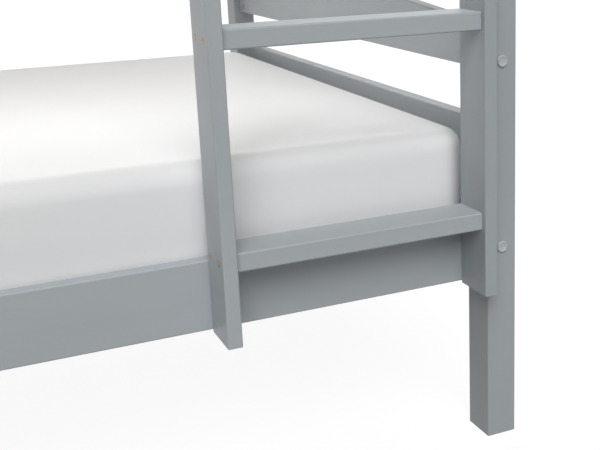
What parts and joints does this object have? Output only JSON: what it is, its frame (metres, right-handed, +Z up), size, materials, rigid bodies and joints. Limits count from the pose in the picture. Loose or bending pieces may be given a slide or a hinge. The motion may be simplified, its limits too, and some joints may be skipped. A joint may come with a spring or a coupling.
{
  "type": "bunk bed",
  "caption": "Painted wooden bunk bed with two single sleeping levels, arched end boards, guard boards and an upright ladder at the right end.",
  "frame": {"origin": "on the floor, at the middle of the footprint with the ladder in it", "axes": "+X along the bed towards the ladder end, +Y from the ladder side to the rear, +Z up"},
  "size_m": [1.9782, 1.1352, 1.585],
  "materials": {
    "paint": "bluish grey satin lacquer",
    "pine": "planed, unpainted",
    "beech": "turned, unpainted",
    "sheet": "smooth white cotton fitted sheet",
    "cap": "moulded",
    "brass_screw": "yellow zinc plated",
    "zinc": "zinc plated"
  },
  "bodies": {
    "frame": {"post_front_left": "paint", "post_front_right": "paint", "post_rear_left": "paint", "post_rear_right": "paint", "lower_front_rail": "paint", "lower_rear_rail": "paint", "upper_front_rail": "paint", "upper_rear_rail": "paint", "lower_front_bearer": "pine", "lower_rear_bearer": "pine", "upper_front_bearer": "pine", "upper_rear_bearer": "pine", "lower_left_end_rail": "paint", "lower_right_end_rail": "paint", "upper_left_end_rail": "paint", "upper_right_end_rail": "paint", "lower_left_mid_slat": "paint", "lower_right_mid_slat": "paint", "upper_left_mid_slat": "paint", "upper_right_mid_slat": "paint", "lower_left_end_board": "paint", "lower_right_end_board": "paint", "upper_left_end_board": "paint", "upper_right_end_board": "paint", "front_guard_low": "paint", "front_guard_high": "paint", "rear_guard_low": "paint", "rear_guard_high": "paint", "front_guard_stile": "paint", "rear_guard_stile_left": "paint", "rear_guard_stile_right": "paint", "ladder_upright_left": "paint", "ladder_upright_right": "paint", "tread_1": "paint", "tread_2": "paint", "tread_3": "paint", "tread_4": "paint", "tread_5": "paint", "lower_slats": "pine", "upper_slats": "pine", "rail_bolts": "zinc", "end_bolts": "zinc", "guard_bolts": "zinc", "barrel_nuts": "zinc", "bolt_caps": "cap", "dowels": "beech", "tread_screws": "brass_screw", "ladder_screws": "zinc", "guard_screws": "zinc", "bearer_screws": "zinc", "slat_screws": "zinc"},
    "lower_mattress_body": {"lower_mattress": "sheet"},
    "upper_mattress_body": {"upper_mattress": "sheet"}
  },
  "joints": [
    {"name": "lower_mattress_lift", "type": "slide", "parent": "frame", "child": "lower_mattress_body", "axis": [0, 0, 1], "range_m": [0, 0.25]},
    {"name": "upper_mattress_lift", "type": "slide", "parent": "frame", "child": "upper_mattress_body", "axis": [0, 0, 1], "range_m": [0, 0.35]}
  ]
}
